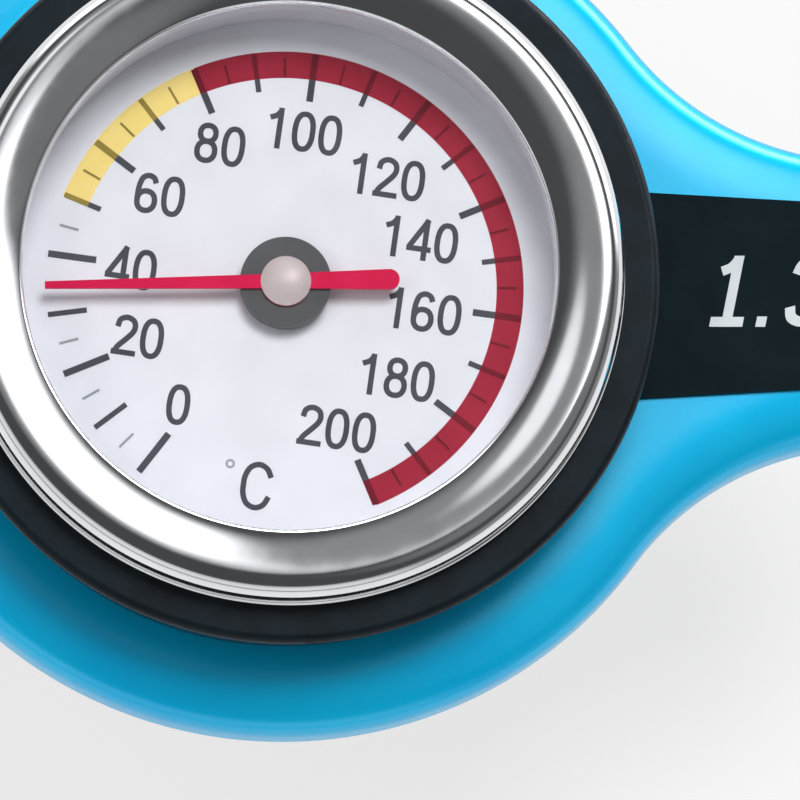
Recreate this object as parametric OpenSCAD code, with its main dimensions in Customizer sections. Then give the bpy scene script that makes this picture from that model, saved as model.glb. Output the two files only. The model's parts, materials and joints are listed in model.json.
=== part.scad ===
// Radiator cap with a dial thermometer on its crown and a probe through its valves.
// The origin is the centre of the neck seat, the plane where the neck gasket meets the filler neck.
// Z is the cap's axis, up through the dial, and X runs through both ears.

/* [Cover] */
// Thickness of the cover over the lock shell
cover_t = 2; // [1.2:0.1:4]
// Height of the cover's edge
edge_h = 3.75; // [3.6:0.05:5]
// Radius of the cover's rounded top edge
edge_round_r = 2.25; // [1:0.05:2.6]
// Bevel under the cover's edge
edge_bevel = 0.35; // [0.1:0.05:0.5]
// Wall of the cover round the lock shell
cover_wall = 1.25; // [0.8:0.05:3]
// Distance across both ear tips
ear_span = 68; // [62:0.5:80]
// Width of an ear
ear_w = 15.5; // [13:0.5:20]
// Radius of the hollow curve from the round edge into an ear
ear_blend_r = 16; // [10:0.5:18]
// Radius of an ear's corners
ear_corner_r = 5; // [3:0.25:6]

/* [Labels] */
// Width of a label at its inner end
label_w = 11.4; // [8:0.1:12]
// Width of a label at its outer end
label_tip_w = 10; // [8:0.1:12]
// Margin from a label's outer end to the ear's tip
label_margin = 2.5; // [2.3:0.1:6]
// Thickness of a label
label_t = 0.3; // [0.1:0.05:0.6]

/* [Lock shell] */
// Bore of the shell's skirt, round the neck's flange
neck_bore_d = 43; // [42:0.1:48]
// Sheet thickness of the shell
shell_t = 1; // [0.8:0.1:1.5]
// Depth of the skirt below the neck seat
skirt_reach = 4.5; // [4:0.1:8]
// Reach of a lug in from the skirt
lug_reach = 2.5; // [1.5:0.1:2.6]
// Angle that each lug spans
lug_angle = 62; // [40:1:80]

/* [Gauge] */
// Outside diameter of the bezel
bezel_d = 36.1; // [34:0.1:40]
// Diameter of the window inside the bezel
window_d = 28.4; // [26:0.1:29]
// Rise of the bezel's crest above the lens
bezel_rise = 2.2; // [1.9:0.05:2.6]
// Radius of the bezel's outer roll, out from its crest
bezel_roll_r = 1.2; // [0.8:0.05:1.3]
// Height of the bezel's inner lip above the lens
bezel_lip_t = 1.6; // [0.8:0.05:1.8]
// Radius of the round on that lip
bezel_lip_r = 0.4; // [0.1:0.05:0.6]
// Thickness of the small bead at the bezel's outer edge
bead_d = 0.66; // [0.4:0.02:0.9]
// Length of the bezel's skirt below the lens face
bezel_skirt_h = 3.4; // [2:0.1:4]
// Thickness of the bezel's skirt
bezel_skirt_t = 0.6; // [0.4:0.05:0.9]
// Sheet thickness of the gauge case
case_t = 0.6; // [0.4:0.05:1]
// Width of the ledge that carries the dial
ledge_w = 1.4; // [1:0.1:3]
// Thickness of the dial plate
dial_t = 0.4; // [0.3:0.05:1]
// Space between the stud's flange and the dial
dial_gap = 0.4; // [0.3:0.05:2]
// Height of the ring between dial and lens
spacer_h = 3; // [2.4:0.1:5]
// Radial width of that ring
spacer_w = 2; // [1:0.1:3]
// Thickness of the lens gasket
lens_gasket_t = 0.3; // [0.2:0.05:0.6]
// Thickness of the lens
lens_t = 1.2; // [0.9:0.1:2]
// Diameter of the boot at its foot
boot_foot_d = 38.2; // [37:0.1:40]
// Wall of the boot at its top
boot_wall = 2.05; // [1:0.05:3]
// Thickness of the boot's floor
boot_floor_t = 0.8; // [0.5:0.05:2]
// Radius of the boot's rounded top edge
boot_round_r = 0.45; // [0.2:0.05:0.8]

/* [Needle] */
// Temperature that the needle shows at rest
reading = 34; // [0:1:200]
// Angle of the scale's zero, anticlockwise from the right ear
scale_zero_a = 232; // [200:1:260]
// Angle of the whole scale
scale_sweep = 300; // [240:5:320]
// Temperature at the scale's end
scale_end = 200; // [100:10:300]
// Reach of the needle's tip from the axis
needle_reach = 12.9; // [9:0.1:13.2]
// Reach of the needle's tail from the axis
tail_reach = 6.1; // [3:0.1:9]
// Width of the needle at its tip
needle_tip_w = 0.38; // [0.2:0.02:0.6]
// Width of the needle at the hub
needle_w = 0.8; // [0.5:0.05:1.2]
// Width of the tail at its round end
tail_w = 1.1; // [0.6:0.05:2]
// Thickness of the needle
needle_t = 0.25; // [0.15:0.05:0.4]
// Diameter of the dark disc under the needle
hub_d = 4.9; // [3:0.1:7]
// Thickness of that disc
hub_t = 0.85; // [0.5:0.05:1]
// Gap between that disc and the dial
hub_gap = 0.5; // [0.3:0.05:0.6]
// Diameter of the silver boss on the needle
boss_d = 2.7; // [1.8:0.1:4]
// Height of the silver boss
boss_h = 0.55; // [0.4:0.05:0.6]
// Diameter of the pointer shaft
shaft_d = 0.8; // [0.6:0.05:1.2]

/* [Probe] */
// Outside diameter of the probe tube
probe_d = 5; // [4.6:0.1:6]
// Wall of the probe tube
probe_wall = 0.35; // [0.2:0.05:0.45]
// Reach of the probe's tip below the neck seat
probe_reach = 31; // [29:0.5:60]
// Length of the plug in the probe's end
plug_h = 1.5; // [1:0.1:4]
// Length of the bimetal coil
coil_h = 13; // [12.5:0.5:16]
// Thickness of the bimetal coil's wire
coil_wire = 0.5; // [0.4:0.02:0.55]
// Turns of the bimetal coil
coil_turns = 12; // [6:1:12]
// Diameter of the bimetal coil, between wire centres
coil_d = 2.8; // [2:0.1:3]
// Thickness of the collar that drives the shaft
collar_t = 0.6; // [0.4:0.1:1.5]
// Length of the upper bush
upper_bush_h = 2; // [1:0.1:6]
// Length of the lower bush
lower_bush_h = 1.5; // [1:0.1:4]

/* [Stud and post] */
// Wall of the stud round the probe
stud_wall = 1.1; // [0.8:0.05:1.6]
// Width of the stud's flange, out from its wall
stud_flange_w = 2; // [1:0.1:4]
// Thickness of the stud's flange
stud_flange_t = 0.6; // [0.4:0.05:1.2]
// Length of stud in the post
stud_grip = 8; // [4:0.5:14]
// Wall of the post round the stud
post_wall = 0.9; // [0.7:0.05:1.5]
// Length of the post's end below the clip
post_end_h = 2.1; // [1:0.1:3]
// Depth of the spanner flats on the post's end
flat_depth = 0.5; // [0.2:0.05:0.7]
// Depth of the clip's groove
groove_depth = 0.4; // [0.2:0.05:0.6]
// Reach of the clip out from the post
clip_w = 1.8; // [1:0.1:3]
// Thickness of the clip
clip_t = 0.6; // [0.4:0.05:1]
// Angle of the clip's mouth
clip_mouth_a = 70; // [30:5:120]
// Width of the stop washer, out from the post
stop_w = 3.5; // [2:0.1:5]
// Thickness of the stop washer
stop_t = 0.8; // [0.5:0.1:1.5]

/* [Neck seal] */
// Outside diameter of the neck gasket
neck_gasket_d = 35.8; // [32:0.1:37.5]
// Thickness of the neck gasket
neck_gasket_t = 1.6; // [1:0.1:3]
// Thickness of the diaphragm spring
diaphragm_t = 0.35; // [0.2:0.05:0.6]
// Height of the diaphragm spring's dish
dish_h = 0.5; // [0.4:0.05:1.2]
// Radial run of the dish's slope
dish_run = 2; // [1:0.1:3]
// Margin of the diaphragm spring round the neck gasket
diaphragm_margin = 0.5; // [0.2:0.1:0.8]
// Diameter of the swivel washer
washer_d = 20; // [14:0.5:24]
// Thickness of the swivel washer
washer_t = 0.5; // [0.3:0.05:1]

/* [Pressure valve] */
// Outside diameter of the pressure spring
spring_d = 20.2; // [19.6:0.1:21]
// Wire of the pressure spring
spring_wire = 1.8; // [1.4:0.05:1.9]
// Turns of the pressure spring
spring_turns = 4.5; // [3:0.5:4.5]
// Length of the pressure spring with the cap on its neck
spring_h = 14.7; // [14.5:0.1:18]
// Sheet thickness of the spring seat
seat_t = 0.8; // [0.5:0.05:1.2]
// Depth of the spring seat's flange
seat_h = 3; // [1.5:0.1:4]
// Room between the spring seat's flange and the spring
seat_gap = 1.2; // [0.4:0.1:2]
// Thickness of the valve plate
valve_t = 1; // [0.6:0.1:2]
// Height of the lip that centres the spring on the valve plate
valve_lip_h = 0.8; // [0.4:0.1:0.9]
// Width of that lip
valve_lip_w = 0.8; // [0.5:0.1:1]
// Margin of the valve gasket round the valve plate
plate_margin = 0.3; // [0.1:0.05:0.6]
// Outside diameter of the valve gasket
valve_gasket_d = 23; // [22:0.1:26]
// Thickness of the valve gasket
valve_gasket_t = 2; // [1.2:0.1:3]
// Height of the sealing lip under the valve gasket
seal_lip_h = 0.4; // [0.2:0.05:0.8]
// Width of that sealing lip
seal_lip_w = 1.9; // [1:0.1:2]

/* [Vacuum valve] */
// Diameter of the vacuum valve's disc
vacuum_d = 15.5; // [13:0.5:16]
// Thickness of the vacuum valve's disc
vacuum_t = 0.9; // [0.6:0.05:1.5]
// Wall of the vacuum valve's tube
vacuum_wall = 0.7; // [0.5:0.05:0.8]
// Length of the tube above its collar
vacuum_end_h = 0.5; // [0.2:0.1:1]
// Travel of the vacuum valve
vacuum_drop = 1.8; // [1:0.1:2.4]
// Wire of the vacuum spring
vacuum_wire = 0.6; // [0.4:0.02:0.65]
// Turns of the vacuum spring
vacuum_turns = 3; // [2:0.5:3]
// Length of the vacuum spring at rest
vacuum_spring_h = 4.8; // [4.6:0.1:6]
// Reach of the vacuum collar out from its tube
vacuum_collar_w = 1.8; // [1.6:0.05:1.9]
// Thickness of the vacuum collar
vacuum_collar_t = 0.6; // [0.4:0.05:1]

/* [Clearances] */
// Gap between fixed pieces that slip together
slip = 0.05; // [0.02:0.01:0.08]
// Radial gap of pieces that turn or slide
run = 0.08; // [0.04:0.01:0.1]
// Gap between flat faces that turn on each other
face_gap = 0.05; // [0.02:0.01:0.1]
// Gap between pieces that must never touch
air = 0.3; // [0.2:0.05:0.35]

/* [Hidden] */
$fn = 96;

// Sides of a wire, rings in each of its turns, and points on each arc of an outline
wire_sides = 6;
turn_rings = 8;
arc_steps = 9;

// Length by which a cut runs past the face that it opens
cut = 1;

// Radii of the lock shell and of the cover
skirt_r = neck_bore_d / 2;
shell_r = skirt_r + shell_t;
cover_bore_r = shell_r + slip;
cover_r = cover_bore_r + cover_wall;

// Centres and angles of the arcs in the cover's outline
body_c = [0, 0];
blend_y = ear_w / 2 + ear_blend_r;
blend_x = sqrt(pow(cover_r + ear_blend_r, 2) - pow(blend_y, 2));
blend_c = [blend_x, blend_y];
body_a = atan2(blend_y, blend_x);
corner_x = ear_span / 2 - ear_corner_r;
corner_off = max(blend_x - corner_x, 0);
corner_y = blend_y - sqrt(pow(ear_blend_r + ear_corner_r, 2) - pow(corner_off, 2));
corner_c = [corner_x, corner_y];
corner_a = acos(corner_off / (ear_blend_r + ear_corner_r));

// Radii of the probe, the stud, the post and the vacuum valve's tube
probe_r = probe_d / 2;
probe_bore_r = probe_r - probe_wall;
stud_r = probe_r + stud_wall;
stud_hole_r = stud_r + slip;
post_r = stud_r + post_wall;
post_hole_r = post_r + run;
vacuum_bore_r = post_r + run;
vacuum_tube_r = vacuum_bore_r + vacuum_wall;
valve_bore_r = vacuum_tube_r + run;
groove_r = post_r - groove_depth;

// Radii of the gauge
bezel_r = bezel_d / 2;
window_r = window_d / 2;
bead_r = bead_d / 2;
bead_bite = bead_r / 2;
bezel_skirt_r = bezel_r - bead_bite;
crest_r = bezel_skirt_r - bezel_roll_r;
crest_drop = bezel_rise - bezel_lip_t;
dome_r = (pow(crest_r - window_r, 2) + pow(crest_drop, 2)) / (2 * crest_drop);
lip_r = window_r + bezel_lip_r;
lip_drop = dome_r - sqrt(pow(dome_r - bezel_lip_r, 2) - pow(crest_r - lip_r, 2));
dome_in_r = lip_r - bezel_lip_r * (crest_r - lip_r) / (dome_r - bezel_lip_r);
case_r = bezel_skirt_r - bezel_skirt_t - slip;
case_bore_r = case_r - case_t;
lens_r = case_bore_r - slip;
boot_r = bezel_skirt_r + boot_wall;
boot_foot_r = boot_foot_d / 2;

// Radii of the springs, their seat and the valve plate
spring_r = (spring_d - spring_wire) / 2;
seat_r = spring_d / 2 + seat_gap + seat_t;
neck_gasket_r = neck_gasket_d / 2;
neck_gasket_bore_r = seat_r + slip;
dish_r = seat_r + air;
diaphragm_r = neck_gasket_r + diaphragm_margin;
valve_gasket_r = valve_gasket_d / 2;
valve_r = valve_gasket_r - plate_margin;
valve_lip_r = spring_r - spring_wire / 2 - air;
chord_share = cos(180 / turn_rings);
vacuum_spring_r = (vacuum_tube_r + vacuum_wire / 2 + slip) / chord_share;
vacuum_collar_r = vacuum_tube_r + vacuum_collar_w;

// Heights up from the neck seat
seat_top_z = neck_gasket_t + dish_h;
washer_z = seat_top_z + diaphragm_t;
shell_z = washer_z + washer_t + face_gap;
shell_top_z = shell_z + shell_t;
cover_z = shell_top_z + cover_t;
edge_z = cover_z - edge_h;
case_z = cover_z + boot_floor_t;
flange_z = case_z + case_t;
flange_top_z = flange_z + stud_flange_t;
dial_back_z = flange_top_z + dial_gap;
dial_z = dial_back_z + dial_t;
spacer_top_z = dial_z + spacer_h;
lens_z = spacer_top_z + lens_gasket_t;
case_top_z = lens_z + lens_t / 3;
lens_top_z = lens_z + lens_t;
crest_z = lens_top_z + bezel_rise;
lip_z = crest_z - lip_drop;
bead_z = lens_top_z - bead_r;
bezel_foot_z = lens_top_z - bezel_skirt_h;
boot_top_z = bead_z - bead_r - slip;
hub_z = dial_z + hub_gap;
needle_z = hub_z + hub_t;
boss_z = needle_z + needle_t;
shaft_top_z = boss_z + boss_h / 2;

// Heights down from the neck seat
seat_z = seat_top_z - seat_t;
valve_top_z = seat_z - spring_h;
valve_z = valve_top_z - valve_t;
valve_gasket_z = valve_z - valve_gasket_t;
vacuum_top_z = valve_gasket_z - face_gap;
vacuum_z = vacuum_top_z - vacuum_t;
vacuum_collar_z = valve_top_z + vacuum_spring_h;
vacuum_tube_top_z = vacuum_collar_z + vacuum_collar_t + vacuum_end_h;
stop_top_z = vacuum_z - vacuum_drop - air;
stop_z = stop_top_z - stop_t;
clip_z = stop_z - clip_t;
post_z = clip_z - post_end_h;
stud_z = shell_z - stud_grip;
tube_z = probe_r - probe_reach;
plug_top_z = tube_z + plug_h;
collar_z = plug_top_z + coil_h;
lower_bush_z = collar_z + collar_t + air;
upper_bush_z = flange_top_z - upper_bush_h;

// Angle of the needle and of the lugs' middles
needle_a = scale_zero_a - reading * scale_sweep / scale_end;
lug_middles = [90, 270];

// The labels' inner ends clear the boot, which leans out above them
label_in_r = boot_foot_r + air;
label_out_r = ear_span / 2 - label_margin;
label_in_x = sqrt(pow(label_in_r, 2) - pow(label_w / 2, 2));
label_out_x = sqrt(pow(label_out_r, 2) - pow(label_tip_w / 2, 2));
label_slope = (label_w - label_tip_w) / 2 / (label_out_x - label_in_x);

aluminium_blue = [0, 0.62, 0.88];
label_black = [0.1, 0.14, 0.17];
plated_steel = [0.72, 0.72, 0.7];
spring_steel = [0.6, 0.61, 0.62];
rubber_black = [0.12, 0.125, 0.15];
chrome = [0.85, 0.86, 0.88];
brass = [0.8, 0.66, 0.36];
dial_white = [0.93, 0.94, 0.97];
needle_red = [0.84, 0.15, 0.33];
hub_grey = [0.28, 0.28, 0.3];
glass_clear = [0.9, 0.95, 1, 0.3];

// Points of an arc about a centre, without its first point
function arc(centre, r, from, to) =
    [for (i = [1:arc_steps])
        let (a = from + (to - from) * i / arc_steps)
        centre + r * [cos(a), sin(a)]];

// A quarter of the cover's outline, from the right ear's tip round to the Y axis
function outline_quarter(inset) = concat(
    [corner_c + [ear_corner_r - inset, 0]],
    arc(corner_c, ear_corner_r - inset, 0, corner_a),
    arc(blend_c, ear_blend_r + inset, corner_a + 180, body_a + 180),
    arc(body_c, cover_r - inset, body_a, 90));

// The whole outline, drawn in by an inset
function outline(inset) =
    let (q = outline_quarter(inset), n = len(q))
    concat(
        q,
        [for (i = [n - 2:-1:0]) [-q[i].x, q[i].y]],
        [for (i = [0:n - 1]) -q[i]],
        [for (i = [n - 2:-1:0]) [q[i].x, -q[i].y]]);

function lift(points, z) = [for (p = points) [p.x, p.y, z]];
function unit(v) = v / norm(v);

// Faces between rings of n points each, and the two end faces
function side_faces(rings, n) =
    [for (k = [0:rings - 2], i = [0:n - 1])
        let (a = k * n + i, b = k * n + (i + 1) % n)
        each [[a, a + n, b + n], [a, b + n, b]]];
function end_faces(rings, n) =
    [[for (i = [0:n - 1]) i], [for (i = [n - 1:-1:0]) (rings - 1) * n + i]];

// A solid skinned over rings of points that run anticlockwise as seen from its far end
module skin(rings) {
    n = len(rings[0]);
    polyhedron(
        [for (ring = rings) each ring],
        concat(side_faces(len(rings), n), end_faces(len(rings), n)));
}

// Centre line of a spring: straight up out of its lower seat, round, and straight into its upper seat
function spring_path(r, wire, z0, z1, turns) =
    let (steps = turns * turn_rings, rise = z1 - z0 - 2 * wire)
    concat(
        [[r, 0, z0]],
        [for (i = [0:steps])
            let (a = 360 * i / turn_rings)
            [r * cos(a), r * sin(a), z0 + wire + rise * i / steps]],
        [[r * cos(360 * turns), r * sin(360 * turns), z1]]);

// Direction of a path at one of its points
function heading(path, i) =
    let (last = len(path) - 1,
        behind = i == 0 ? [0, 0, 0] : unit(path[i] - path[i - 1]),
        ahead = i == last ? [0, 0, 0] : unit(path[i + 1] - path[i]))
    unit(behind + ahead);

// A ring of the wire, set square to the path
function wire_ring(path, i, wire) =
    let (p = path[i], out = unit([p.x, p.y, 0]), across = cross(heading(path, i), out))
    [for (s = [0:wire_sides - 1])
        let (a = 360 * s / wire_sides)
        p + wire / 2 * (cos(a) * out + sin(a) * across)];

// Least gap between a spring's neighbouring turns
function least_gap(path, wire) =
    let (last = len(path) - 1)
    min([for (i = [1:last - turn_rings - 1]) norm(path[i + turn_rings] - path[i])]) - wire;

module spring(name, r, wire, z0, z1, turns) {
    path = spring_path(r, wire, z0, z1, turns);
    echo(str(name, " least gap to itself, mm: "), least_gap(path, wire));
    skin([for (i = [0:len(path) - 1]) wire_ring(path, i, wire)]);
}

module ring(outer_r, inner_r, z0, z1) {
    rotate_extrude()
        translate([inner_r, z0])
            square([outer_r - inner_r, z1 - z0]);
}

module rod(r, z0, z1) {
    translate([0, 0, z0])
        cylinder(r = r, h = z1 - z0);
}

// A slice of a ring, whose middle lies at an angle
module ring_slice(outer_r, inner_r, z0, z1, middle, span) {
    rotate([0, 0, middle - span / 2])
        rotate_extrude(angle = span)
            translate([inner_r, z0])
                square([outer_r - inner_r, z1 - z0]);
}

// The cover's solid: a bevelled foot, an upright edge and a round top edge
module cover_body() {
    foot = [lift(outline(edge_bevel), edge_z), lift(outline(0), edge_z + edge_bevel)];
    round_top = [for (i = [0:arc_steps])
        let (a = 90 * i / arc_steps)
        lift(outline(edge_round_r * (1 - cos(a))), cover_z - edge_round_r * (1 - sin(a)))];
    skin(concat(foot, round_top));
}

module cover() {
    color(aluminium_blue)
        difference() {
            cover_body();
            rod(cover_bore_r, edge_z - cut, shell_top_z);
            rod(stud_hole_r, shell_top_z - cut, cover_z + cut);
        }
}

// The right ear's label, tapered, with ends that curve round the cap's axis
module right_label() {
    in_y = label_w / 2 + label_slope * cut;
    out_y = label_tip_w / 2 - label_slope * (label_out_r + cut - label_out_x);
    color(label_black)
        translate([0, 0, cover_z])
            linear_extrude(label_t)
                difference() {
                    intersection() {
                        polygon([[label_in_x - cut, -in_y], [label_out_r + cut, -out_y],
                            [label_out_r + cut, out_y], [label_in_x - cut, in_y]]);
                        circle(r = label_out_r);
                    }
                    circle(r = label_in_r);
                }
}

module left_label() {
    rotate([0, 0, 180])
        right_label();
}

// Pressed shell with two lugs turned in at its skirt's foot
module bayonet_shell() {
    color(plated_steel)
        union() {
            ring(shell_r, stud_hole_r, shell_z, shell_top_z);
            ring(shell_r, skirt_r, -skirt_reach, shell_z);
            for (middle = lug_middles)
                ring_slice(skirt_r + shell_t / 2, skirt_r - lug_reach,
                    -skirt_reach, shell_t - skirt_reach, middle, lug_angle);
        }
}

// Rubber boot that holds the gauge, wider at its top than at its foot
module gauge_boot() {
    color(rubber_black)
        rotate_extrude() {
            polygon([[stud_hole_r, cover_z], [boot_foot_r, cover_z],
                [boot_r, boot_top_z - boot_round_r], [boot_r - boot_round_r, boot_top_z - boot_round_r],
                [boot_r - boot_round_r, boot_top_z], [bezel_skirt_r + slip, boot_top_z],
                [bezel_skirt_r + slip, bezel_foot_z - slip], [case_r + slip, bezel_foot_z - slip],
                [case_r + slip, case_z], [stud_hole_r, case_z]]);
            intersection() {
                translate([boot_r - boot_round_r, boot_top_z - boot_round_r])
                    circle(r = boot_round_r);
                translate([boot_r - boot_round_r, boot_top_z - boot_round_r])
                    square(boot_round_r);
            }
        }
}

// Pressed case with a ledge under the dial
module gauge_case() {
    color(chrome)
        union() {
            ring(case_r, stud_r, case_z, flange_z);
            ring(case_r, case_bore_r, flange_z, case_top_z);
            ring(case_bore_r, case_bore_r - ledge_w, flange_z, dial_back_z);
        }
}

// Ring over the lens that domes in to a round lip at its window, with a roll and a bead
// at its outer edge and a skirt down the case
module bezel() {
    color(chrome)
        rotate_extrude()
            difference() {
                union() {
                    intersection() {
                        translate([crest_r, crest_z - dome_r])
                            circle(r = dome_r);
                        translate([dome_in_r, lens_top_z])
                            square([crest_r - dome_in_r, bezel_rise]);
                    }
                    translate([lip_r, lip_z])
                        circle(r = bezel_lip_r);
                    translate([window_r, lens_top_z])
                        square([bezel_lip_r, lip_z - lens_top_z]);
                    translate([crest_r, crest_z - bezel_roll_r])
                        circle(r = bezel_roll_r);
                    translate([bezel_r - bead_r, bead_z])
                        circle(r = bead_r);
                    translate([case_r + slip, bezel_foot_z])
                        square([bezel_skirt_t, crest_z - bezel_roll_r - bezel_foot_z]);
                }
                translate([0, bezel_foot_z - cut])
                    square([case_r + slip, case_top_z + slip - bezel_foot_z + cut]);
                translate([0, bezel_foot_z - cut])
                    square([lens_r + slip, lens_top_z - bezel_foot_z + cut]);
            }
}

module lens() {
    color(glass_clear)
        rod(lens_r, lens_z, lens_top_z);
}

module lens_gasket() {
    color(rubber_black)
        ring(lens_r, case_bore_r - spacer_w, spacer_top_z, lens_z);
}

module spacer_ring() {
    color(dial_white)
        ring(lens_r, case_bore_r - spacer_w - slip, dial_z, spacer_top_z);
}

module dial_plate() {
    color(dial_white)
        ring(lens_r, shaft_d / 2 + air, dial_back_z, dial_z);
}

// Flat needle with a tapered arm and a tail that ends round
module needle() {
    color(needle_red)
        translate([0, 0, needle_z])
            rotate([0, 0, needle_a])
                linear_extrude(needle_t)
                    difference() {
                        union() {
                            polygon([[0, -needle_w / 2], [needle_reach, -needle_tip_w / 2],
                                [needle_reach, needle_tip_w / 2], [0, needle_w / 2],
                                [tail_w / 2 - tail_reach, tail_w / 2],
                                [tail_w / 2 - tail_reach, -tail_w / 2]]);
                            translate([tail_w / 2 - tail_reach, 0])
                                circle(d = tail_w);
                            circle(d = boss_d);
                        }
                        circle(d = shaft_d);
                    }
}

module hub_disc() {
    color(hub_grey)
        ring(hub_d / 2, shaft_d / 2, hub_z, needle_z);
}

// Domed boss with a blind hole for the shaft
module hub_boss() {
    boss_dome_r = (pow(boss_d / 2, 2) + pow(boss_h, 2)) / (2 * boss_h);
    color(chrome)
        difference() {
            intersection() {
                rod(boss_d / 2, boss_z, boss_z + boss_h);
                translate([0, 0, boss_z + boss_h - boss_dome_r])
                    sphere(r = boss_dome_r);
            }
            rod(shaft_d / 2, boss_z - cut, shaft_top_z);
        }
}

module pointer_shaft() {
    color(spring_steel)
        rod(shaft_d / 2, collar_z, shaft_top_z);
}

module coil_collar() {
    color(brass)
        ring(probe_bore_r - air, shaft_d / 2, collar_z, collar_z + collar_t);
}

module bimetal_coil() {
    color(spring_steel)
        spring("bimetal_coil", coil_d / 2, coil_wire, plug_top_z, collar_z, coil_turns);
}

module upper_bush() {
    color(brass)
        ring(probe_bore_r, shaft_d / 2 + run, upper_bush_z, flange_top_z);
}

module lower_bush() {
    color(brass)
        ring(probe_bore_r, shaft_d / 2 + run, lower_bush_z, lower_bush_z + lower_bush_h);
}

module probe_tube() {
    color(plated_steel)
        ring(probe_r, probe_bore_r, tube_z, flange_top_z);
}

// Plug with a round nose that closes the probe
module probe_tip() {
    color(plated_steel)
        union() {
            rod(probe_bore_r, tube_z, plug_top_z);
            intersection() {
                translate([0, 0, tube_z])
                    sphere(r = probe_r);
                rod(probe_r, -probe_reach, tube_z);
            }
        }
}

// Hollow stud whose flange holds the case down
module gauge_stud() {
    color(brass)
        union() {
            ring(stud_r, probe_r, stud_z, flange_top_z);
            ring(stud_r + stud_flange_w, stud_r, flange_z, flange_top_z);
        }
}

// Post screwed on the stud, grooved for the clip and flatted for a spanner at its end
module centre_post() {
    flat_off = post_r - flat_depth;
    color(brass)
        difference() {
            rod(post_r, post_z, shell_z);
            rod(stud_r, stud_z, shell_z + cut);
            rod(probe_r + slip, post_z - cut, shell_z);
            ring(post_r + cut, groove_r, clip_z, clip_z + clip_t);
            for (side = [-1, 1])
                translate([-post_r, side > 0 ? flat_off : -flat_off - post_r, post_z - cut])
                    cube([2 * post_r, post_r, post_end_h - air + cut]);
        }
}

module stop_washer() {
    color(plated_steel)
        ring(post_r + stop_w, post_r + slip, stop_z, stop_top_z);
}

// Open clip in the post's groove
module retaining_clip() {
    color(spring_steel)
        ring_slice(post_r + clip_w, groove_r, clip_z, clip_z + clip_t, 0, 360 - clip_mouth_a);
}

module swivel_washer() {
    color(brass)
        ring(washer_d / 2, post_hole_r, washer_z, washer_z + washer_t);
}

// Dished steel disc between the washer and the neck gasket
module diaphragm_spring() {
    color(spring_steel)
        rotate_extrude()
            polygon([[post_hole_r, seat_top_z], [dish_r, seat_top_z],
                [dish_r + dish_run, neck_gasket_t], [diaphragm_r, neck_gasket_t],
                [diaphragm_r, neck_gasket_t + diaphragm_t],
                [dish_r + dish_run, neck_gasket_t + diaphragm_t],
                [dish_r, washer_z], [post_hole_r, washer_z]]);
}

module neck_gasket() {
    color(rubber_black)
        ring(neck_gasket_r, neck_gasket_bore_r, 0, neck_gasket_t);
}

// Shallow cup over the spring's upper end
module spring_seat() {
    color(plated_steel)
        union() {
            ring(seat_r, post_hole_r, seat_z, seat_top_z);
            ring(seat_r, seat_r - seat_t, seat_top_z - seat_h, seat_z);
        }
}

module pressure_spring() {
    color(spring_steel)
        spring("pressure_spring", spring_r, spring_wire, valve_top_z, seat_z, spring_turns);
}

// Plate with a lip inside the spring's lower end
module valve_plate() {
    color(plated_steel)
        union() {
            ring(valve_r, valve_bore_r, valve_z, valve_top_z);
            ring(valve_lip_r, valve_lip_r - valve_lip_w, valve_top_z, valve_top_z + valve_lip_h);
        }
}

// Rubber disc whose lip seals on the neck's inner seat
module valve_gasket() {
    color(rubber_black)
        union() {
            ring(valve_gasket_r, valve_bore_r, valve_gasket_z, valve_z);
            ring(valve_gasket_r, valve_gasket_r - seal_lip_w,
                valve_gasket_z - seal_lip_h, valve_gasket_z);
        }
}

// Disc under the valve gasket, on a tube that slides up the post
module vacuum_valve() {
    color(brass)
        union() {
            ring(vacuum_d / 2, vacuum_bore_r, vacuum_z, vacuum_top_z);
            ring(vacuum_tube_r, vacuum_bore_r, vacuum_top_z, vacuum_tube_top_z);
        }
}

module vacuum_spring() {
    color(spring_steel)
        spring("vacuum_spring", vacuum_spring_r, vacuum_wire,
            valve_top_z, vacuum_collar_z, vacuum_turns);
}

module vacuum_collar() {
    color(brass)
        ring(vacuum_collar_r, vacuum_tube_r, vacuum_collar_z, vacuum_collar_z + vacuum_collar_t);
}

cover();
right_label();
left_label();
bayonet_shell();
gauge_boot();
gauge_case();
bezel();
lens();
lens_gasket();
spacer_ring();
dial_plate();
needle();
hub_disc();
hub_boss();
pointer_shaft();
coil_collar();
bimetal_coil();
upper_bush();
lower_bush();
probe_tube();
probe_tip();
gauge_stud();
centre_post();
stop_washer();
retaining_clip();
swivel_washer();
diaphragm_spring();
neck_gasket();
spring_seat();
pressure_spring();
valve_plate();
valve_gasket();
vacuum_valve();
vacuum_spring();
vacuum_collar();
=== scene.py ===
import json
import math

import bmesh
import bpy
from mathutils import Matrix, Vector
from mathutils.geometry import delaunay_2d_cdt


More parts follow.
